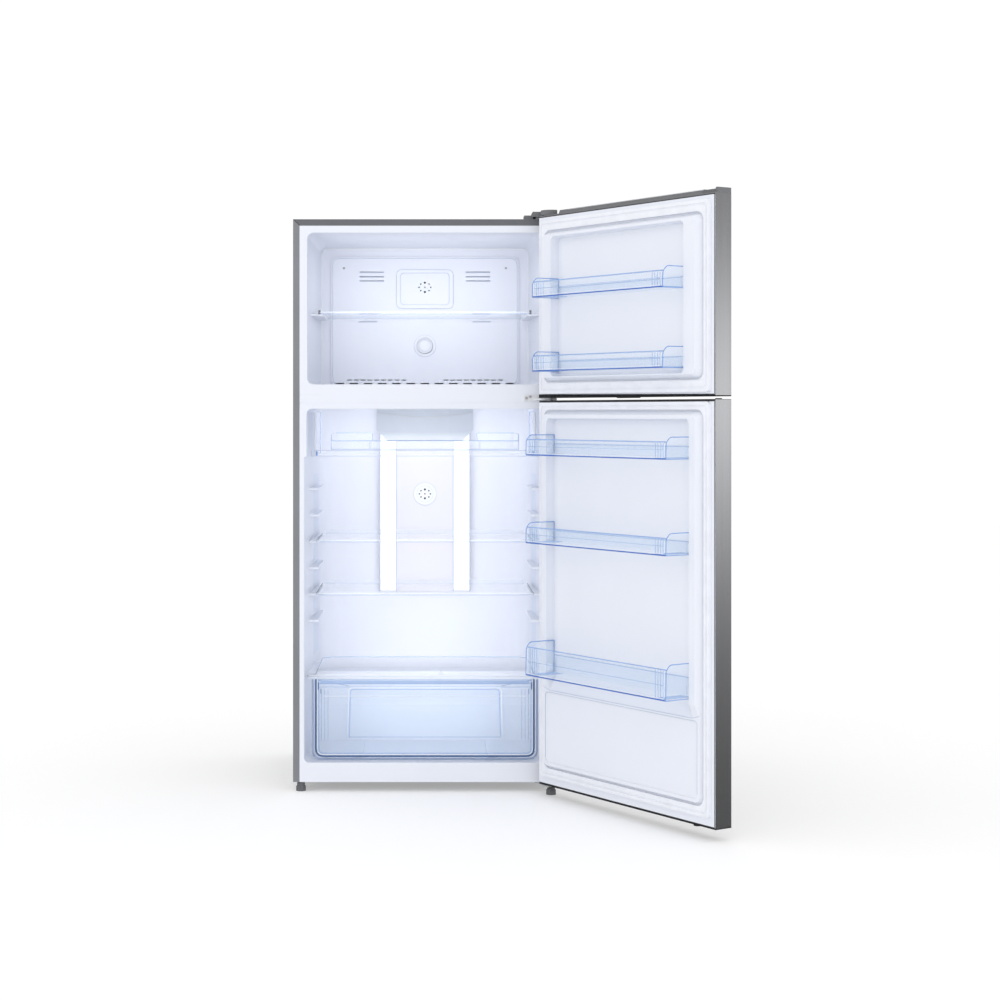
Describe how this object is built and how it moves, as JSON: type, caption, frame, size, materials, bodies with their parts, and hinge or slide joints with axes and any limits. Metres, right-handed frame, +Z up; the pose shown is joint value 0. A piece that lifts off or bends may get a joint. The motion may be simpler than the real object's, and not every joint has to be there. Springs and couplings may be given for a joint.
{
  "type": "top freezer refrigerator",
  "caption": "Two-door top freezer refrigerator, both doors open, with white liners, glass shelves, clear drawer and tray, and clear blue door bins.",
  "frame": {"origin": "on the floor, under the middle of the cabinet's width and depth", "axes": "+Z up, -Y out of the front, +X towards the hinged side"},
  "size_m": [1.2081, 1.3616, 1.735],
  "materials": {
    "cabinet_steel": "satin",
    "back_steel": "satin",
    "door_steel": "satin",
    "liner_white": "gloss",
    "trim_white": "gloss",
    "cap_grey": "satin",
    "cap_black": "satin",
    "foam": "matte",
    "seal": "matte",
    "clear_blue": "gloss",
    "clear": "gloss",
    "shelf_glass": "gloss",
    "frosted": "satin",
    "zinc_steel": "satin",
    "white_steel": "satin",
    "screw_steel": "satin",
    "aluminium": "satin",
    "black_enamel": "gloss",
    "black_rubber": "matte",
    "grey_plastic": "matte"
  },
  "bodies": {
    "cabinet": {"outer_shell": "cabinet_steel", "rear_panel": "back_steel", "cabinet_foam": "foam", "freezer_liner": "liner_white", "fridge_liner": "liner_white", "mullion_front": "liner_white", "base_frame": "zinc_steel", "compressor": "black_enamel", "compressor_mounts": "black_rubber", "drip_tray": "grey_plastic", "compressor_cover": "zinc_steel", "lead_gland": "black_rubber", "upper_hinge": "zinc_steel", "upper_hinge_cover": "cap_grey", "middle_hinge": "white_steel", "lower_hinge": "zinc_steel", "screws": "screw_steel", "evaporator_cover": "liner_white", "evaporator": "aluminium", "fan_motor": "zinc_steel", "duct_cover": "liner_white", "light_strips": "frosted", "duct_vent": "trim_white", "lamp_cover": "frosted", "chiller_brackets": "clear", "chiller_shelf": "clear", "crisper_cover_glass": "shelf_glass", "crisper_cover_frame": "clear"},
    "temperature_dial": {"temperature_dial": "trim_white"},
    "humidity_slider": {"humidity_slider": "clear"},
    "crisper_drawer": {"crisper_drawer": "clear_blue"},
    "chiller_tray": {"chiller_tray": "clear"},
    "freezer_shelf": {"freezer_shelf_glass": "shelf_glass", "freezer_shelf_trim": "clear"},
    "lower_shelf": {"lower_shelf_glass": "shelf_glass", "lower_shelf_trim": "clear"},
    "upper_shelf": {"upper_shelf_glass": "shelf_glass", "upper_shelf_trim": "clear"},
    "left_foot": {"left_foot": "grey_plastic"},
    "right_foot": {"right_foot": "grey_plastic"},
    "left_roller": {"left_roller": "grey_plastic"},
    "right_roller": {"right_roller": "grey_plastic"},
    "evaporator_fan": {"evaporator_fan": "grey_plastic"},
    "freezer_door": {"freezer_door_skin": "door_steel", "freezer_door_top_cap": "cap_grey", "freezer_door_bottom_cap": "cap_black", "freezer_door_foam": "foam", "freezer_door_liner": "liner_white", "freezer_door_gasket": "seal"},
    "fridge_door": {"fridge_door_skin": "door_steel", "fridge_door_top_cap": "cap_black", "fridge_door_bottom_cap": "cap_black", "fridge_door_foam": "foam", "fridge_door_liner": "liner_white", "fridge_door_gasket": "seal"},
    "freezer_bin_upper": {"freezer_bin_upper": "clear_blue"},
    "freezer_bin_lower": {"freezer_bin_lower": "clear_blue"},
    "fridge_bin_upper": {"fridge_bin_upper": "clear_blue"},
    "fridge_bin_middle": {"fridge_bin_middle": "clear_blue"},
    "fridge_bin_lower": {"fridge_bin_lower": "clear_blue"}
  },
  "joints": [
    {"name": "freezer_door_hinge", "type": "hinge", "parent": "cabinet", "child": "freezer_door", "pos_m": [0.375, -0.374, 1.45], "axis": [0, 0, 1], "range_deg": [-123.2, 12]},
    {"name": "fridge_door_hinge", "type": "hinge", "parent": "cabinet", "child": "fridge_door", "pos_m": [0.375, -0.374, 0.6], "axis": [0, 0, 1], "range_deg": [-123.2, 12]},
    {"name": "crisper_slide", "type": "slide", "parent": "cabinet", "child": "crisper_drawer", "axis": [0, -1, 0], "range_m": [0, 0.3]},
    {"name": "chiller_tray_slide", "type": "slide", "parent": "cabinet", "child": "chiller_tray", "axis": [0, -1, 0], "range_m": [0, 0.25]},
    {"name": "freezer_shelf_slide", "type": "slide", "parent": "cabinet", "child": "freezer_shelf", "axis": [0, -1, 0], "range_m": [0, 0.28]},
    {"name": "upper_shelf_slide", "type": "slide", "parent": "cabinet", "child": "upper_shelf", "axis": [0, -1, 0], "range_m": [0, 0.3]},
    {"name": "lower_shelf_slide", "type": "slide", "parent": "cabinet", "child": "lower_shelf", "axis": [0, -1, 0], "range_m": [0, 0.3]},
    {"name": "freezer_bin_upper_lift", "type": "slide", "parent": "freezer_door", "child": "freezer_bin_upper", "axis": [0, 0, 1], "range_m": [0, 0.032]},
    {"name": "freezer_bin_lower_lift", "type": "slide", "parent": "freezer_door", "child": "freezer_bin_lower", "axis": [0, 0, 1], "range_m": [0, 0.032]},
    {"name": "fridge_bin_upper_lift", "type": "slide", "parent": "fridge_door", "child": "fridge_bin_upper", "axis": [0, 0, 1], "range_m": [0, 0.032]},
    {"name": "fridge_bin_middle_lift", "type": "slide", "parent": "fridge_door", "child": "fridge_bin_middle", "axis": [0, 0, 1], "range_m": [0, 0.032]},
    {"name": "fridge_bin_lower_lift", "type": "slide", "parent": "fridge_door", "child": "fridge_bin_lower", "axis": [0, 0, 1], "range_m": [0, 0.032]},
    {"name": "temperature_dial_turn", "type": "hinge", "parent": "cabinet", "child": "temperature_dial", "pos_m": [0, 0.148, 1.3505], "axis": [0, -1, 0], "range_deg": [-135, 135]},
    {"name": "humidity_slide", "type": "slide", "parent": "cabinet", "child": "humidity_slider", "axis": [1, 0, 0], "range_m": [-0.02, 0.02]},
    {"name": "left_foot_turn", "type": "hinge", "parent": "cabinet", "child": "left_foot", "pos_m": [-0.372, -0.314, 0.014], "axis": [0, 0, 1], "range_deg": [-180, 180]},
    {"name": "right_foot_turn", "type": "hinge", "parent": "cabinet", "child": "right_foot", "pos_m": [0.375, -0.374, 0.014], "axis": [0, 0, 1], "range_deg": [-180, 180]},
    {"name": "left_roller_spin", "type": "hinge", "parent": "cabinet", "child": "left_roller", "pos_m": [-0.345, 0.29, 0.014], "axis": [1, 0, 0], "continuous": true},
    {"name": "right_roller_spin", "type": "hinge", "parent": "cabinet", "child": "right_roller", "pos_m": [0.345, 0.29, 0.014], "axis": [1, 0, 0], "continuous": true},
    {"name": "evaporator_fan_spin", "type": "hinge", "parent": "cabinet", "child": "evaporator_fan", "pos_m": [0, 0.1765, 1.54], "axis": [0, 1, 0], "continuous": true}
  ]
}
